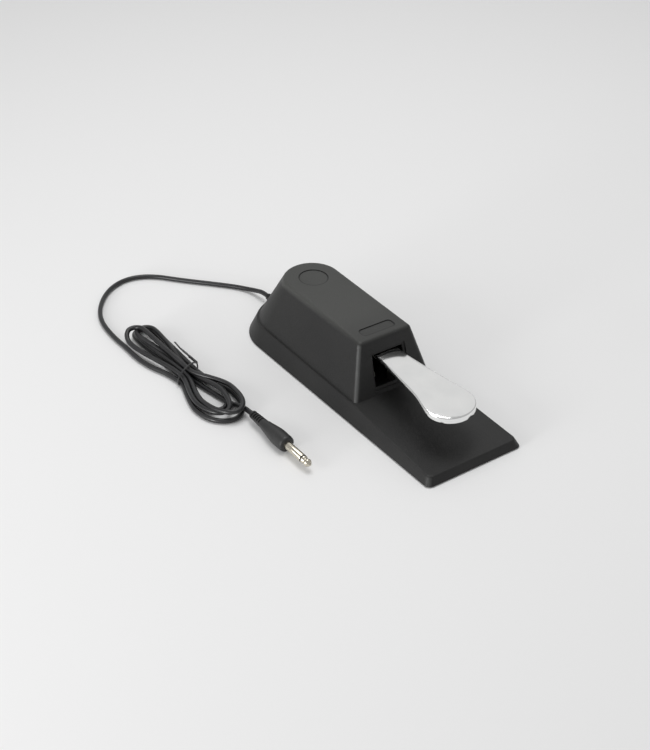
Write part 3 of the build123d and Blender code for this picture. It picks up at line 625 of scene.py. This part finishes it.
RING = [(3.05, SLEEVE_END), (3.15, SLEEVE_END + 0.1), (3.15, SLEEVE_END + 1.1), (3.05, RING_END)]
# Distances of the point are from the end of the ring.
POINT = [(2.9, 0.0), (3.1, 0.15), (3.1, 1.0), (2.85, 1.5), (2.3, 2.3), (2.1, 2.9), (2.25, 3.5), (2.75, 4.1),
         (3.05, 4.7), (3.12, 5.2), (2.95, 5.8), (2.35, 6.7), (1.6, 7.7), (0.95, 8.4), (0.45, 8.8),
         (0.12, 8.9)]


def make_plug(finishes):
    """Moulded grip with a slotted relief, and the nickel-plated contacts of a quarter-inch plug."""
    fine = smooth_profile(GRIP, GRIP_STEP)
    points, faces = turned(fine, PLUG_START, PLUG_AIM, GRIP_SIDES, relief_shape(**GRIP_SLOTS))
    body = add_piece("plug_grip", points, faces, finishes["plug_plastic"])
    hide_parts("plug_body")
    points, faces = turned(SLEEVE, PLUG_START, PLUG_AIM)
    sleeve = add_piece("plug_barrel", points, faces, finishes["plug_nickel"])
    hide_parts("plug_sleeve")
    points, faces = turned(RING, PLUG_START, PLUG_AIM)
    insulator = add_piece("plug_ring", points, faces, finishes["insulator_plastic"])
    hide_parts("plug_insulator")
    points, faces = turned([(radius, RING_END + along) for radius, along in POINT], PLUG_START, PLUG_AIM)
    tip = add_piece("plug_point", points, faces, finishes["plug_nickel"])
    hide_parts("plug_tip")
    return [body, sleeve, insulator, tip]


STRIP_SIDES = 8
STRIP_SQUARENESS = 0.6
SPAN_STEPS = 10


def strip(path, outward, width, thickness):
    """Points and faces of a flat strip with rounded edges along a path; outward gives its thin direction."""
    section = []
    for step in range(STRIP_SIDES):
        angle = 2 * math.pi * step / STRIP_SIDES
        flat = math.copysign(abs(math.sin(angle)) ** STRIP_SQUARENESS, math.sin(angle))
        section.append((0.5 * width * math.cos(angle), 0.5 * thickness * flat))
    points = []
    for index, place in enumerate(path):
        before = path[max(index - 1, 0)]
        after = path[min(index + 1, len(path) - 1)]
        along = (after - before).normalized()
        thin = outward[index] - along * outward[index].dot(along)
        thin.normalize()
        wide = along.cross(thin)
        points += [place + wide * across + thin * up for across, up in section]
    return points, ring_faces(len(path), STRIP_SIDES)


def spline_path(corners):
    """Smooth path through a few corners."""
    path = []
    for index in range(len(corners) - 1):
        p0 = Vector(corners[max(index - 1, 0)])
        p1 = Vector(corners[index])
        p2 = Vector(corners[index + 1])
        p3 = Vector(corners[min(index + 2, len(corners) - 1)])
        for step in range(SPAN_STEPS):
            t = step / SPAN_STEPS
            path.append(0.5 * (2 * p1 + (p2 - p0) * t + (2 * p0 - 5 * p1 + 4 * p2 - p3) * t * t
                               + (3 * p1 - p0 - 3 * p2 + p3) * t ** 3))
    return path + [Vector(corners[-1])]


# The twist tie: once round the hank's waist, then the two strands' twist, then their loose ends.
TIE_BAND = [(-103.0, 86.6, 9.0), (-107.0, 85.4, 11.3), (-113.0, 83.0, 12.2), (-118.6, 80.7, 11.3),
            (-122.8, 79.1, 9.3), (-125.7, 77.9, 5.4), (-125.4, 78.0, 1.8), (-122.2, 79.2, 0.42),
            (-113.0, 83.1, 0.36), (-105.6, 86.3, 0.42), (-102.9, 87.4, 1.7), (-102.4, 87.6, 4.6),
            (-102.6, 87.4, 7.2)]
TIE_TAILS = [[(-103.6, 100.5, 9.0), (-104.4, 106.5, 9.9), (-104.3, 114.0, 10.3), (-103.6, 121.6, 10.4)],
             [(-102.4, 100.2, 7.8), (-101.9, 105.0, 7.6), (-101.6, 111.0, 6.9), (-101.4, 116.6, 6.3)]]
TIE_TWIST_FROM = (-102.9, 88.0, 8.6)
TIE_TWIST_TO = (-103.0, 99.0, 8.4)
TIE_TURNS = 2.5
TIE_TWIST_STEPS = 40
TIE_TWIST_R = 0.75
TIE_MIDDLE = Vector((-114.0, 82.5, 5.0))
TIE_END_FACES = Vector((0.5, 0, 1)).normalized()
TIE_WIDTH = 1.9
TIE_THICKNESS = 0.75


def twist_strand(phase):
    """One strand of the tie's twist."""
    start, end = Vector(TIE_TWIST_FROM), Vector(TIE_TWIST_TO)
    path, outward = [], []
    for step in range(TIE_TWIST_STEPS + 1):
        share = step / TIE_TWIST_STEPS
        angle = phase + 2 * math.pi * TIE_TURNS * share
        away = Vector((math.cos(angle), 0, math.sin(angle)))
        path.append(start.lerp(end, share) + away * TIE_TWIST_R)
        outward.append(away)
    return path, outward


def make_tie(finish):
    """Plastic-covered wire that holds the hank: round the bundle, twisted together, and two loose ends."""
    over, over_out = twist_strand(math.pi / 2)
    under, under_out = twist_strand(-math.pi / 2)
    band = spline_path(TIE_BAND)
    band_out = []
    for place in band:
        away = place - TIE_MIDDLE
        band_out.append(Vector((away.x, 0, 2 * away.z)).normalized())
    ends, ends_out = [], []
    for corners, strand in zip(TIE_TAILS, (over, under)):
        tail = spline_path([tuple(strand[-1])] + corners)
        ends.append(tail)
        ends_out.append([TIE_END_FACES] * len(tail))
    path = ends[0][::-1][:-1] + over[::-1] + band + under + ends[1][1:]
    outward = ends_out[0][:-1] + over_out[::-1] + band_out + under_out + ends_out[1][1:]
    points, faces = strip(path, outward, TIE_WIDTH, TIE_THICKNESS)
    piece = add_piece("wire_tie", points, faces, finish)
    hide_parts("twist_tie")
    return piece


SPRING_Y = 4.0
SPRING_LOW, SPRING_HIGH = 5.9, 38.9
SPRING_TURNS = 7
SPRING_R = 7.0
SPRING_WIRE_R = 0.8
SPRING_STEPS = 28 * SPRING_TURNS
SPRING_SIDES = 10
SPRING_END_CLOSING = 0.35


def make_spring(finish):
    """Return spring between its seat and the lever's cap, with closed end turns."""
    points = []
    for step in range(SPRING_STEPS + 1):
        share = step / SPRING_STEPS
        angle = 2 * math.pi * SPRING_TURNS * share
        eased = share - math.sin(4 * math.pi * share) / (4 * math.pi) * SPRING_END_CLOSING
        away = Vector((math.cos(angle), math.sin(angle), 0))
        centre = Vector((0, SPRING_Y, mix(SPRING_LOW, SPRING_HIGH, eased))) + away * SPRING_R
        for side in range(SPRING_SIDES):
            turn = 2 * math.pi * side / SPRING_SIDES
            points.append(centre + SPRING_WIRE_R * (away * math.cos(turn) + Vector((0, 0, math.sin(turn)))))
    piece = add_piece("coil_spring", points, ring_faces(SPRING_STEPS + 1, SPRING_SIDES), finish)
    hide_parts("return_spring")
    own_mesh(piece)


# ---------------------------------------------------------------- stage

FLOOR_HALF = 15.0
FLOOR_Z = -0.0002
FLOOR_COLOUR = (0.86, 0.86, 0.86, 1)
FLOOR_ROUGHNESS = 0.7
FLOOR_SPECULAR = 0.1


def make_stage():
    """Plain pale floor."""
    mesh = bpy.data.meshes.new("floor")
    corners = [(x * FLOOR_HALF, y * FLOOR_HALF, FLOOR_Z) for x, y in ((-1, -1), (1, -1), (1, 1), (-1, 1))]
    mesh.from_pydata(corners, [], [(0, 1, 2, 3)])
    floor = bpy.data.objects.new("floor", mesh)
    bpy.context.scene.collection.objects.link(floor)
    paint = new_material("floor_paint")
    shader = paint.node_tree.nodes["Principled BSDF"]
    shader.inputs["Base Color"].default_value = FLOOR_COLOUR
    shader.inputs["Roughness"].default_value = FLOOR_ROUGHNESS
    shader.inputs["Specular IOR Level"].default_value = FLOOR_SPECULAR
    mesh.materials.append(paint)


def area_light(name, place, aim, size, power):
    """Rectangular soft light aimed at a point."""
    data = bpy.data.lights.new(name, "AREA")
    data.shape = "RECTANGLE"
    data.size, data.size_y = size
    data.energy = power
    light = bpy.data.objects.new(name, data)
    light.location = place
    direction = Vector(aim) - Vector(place)
    light.rotation_euler = direction.to_track_quat("-Z", "Y").to_euler()
    bpy.context.scene.collection.objects.link(light)


WORLD_STRENGTH = 0.47
# Soft boxes: name, place, what it is aimed at, size and watts.
LIGHTS = [
    ("back_box", (0.75, 1.0, 1.05), (0, -0.05, 0.03), (1.7, 1.2), 1.7),
    ("top_box", (0.1, 0.25, 1.5), (0, 0.05, 0), (0.8, 0.8), 8.6),
    ("left_box", (-1.3, 0.1, 0.5), (0, 0, 0.03), (0.8, 0.5), 4),
    ("low_box", (-1.3, -0.25, 0.14), (0, -0.05, 0.03), (0.3, 0.25), 7),
]


def make_lights():
    """Soft boxes behind, over and to the left of the object, and a bright plain world."""
    world = bpy.data.worlds.new("studio")
    world.use_nodes = True
    background = world.node_tree.nodes["Background"]
    background.inputs["Color"].default_value = (1, 1, 1, 1)
    background.inputs["Strength"].default_value = WORLD_STRENGTH
    bpy.context.scene.world = world
    bpy.context.scene.view_settings.view_transform = "Standard"
    for light in LIGHTS:
        area_light(*light)


# ---------------------------------------------------------------- put together

make_camera()
finishes = make_finishes()
cord = nurbs_cord("cord", cord_route(), CORD_R)
cord.data.materials.append(finishes["cord_jacket"])
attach(cord, "case")
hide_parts("cord_lead", "cord_hank", "cord_tail")
dress_frame(finishes)
gland = make_gland(finishes["gland_rubber"])
tie = make_tie(finishes["tie_plastic"])
plug = make_plug(finishes)
make_spring(finishes["spring_steel"])
make_stage()
make_lights()
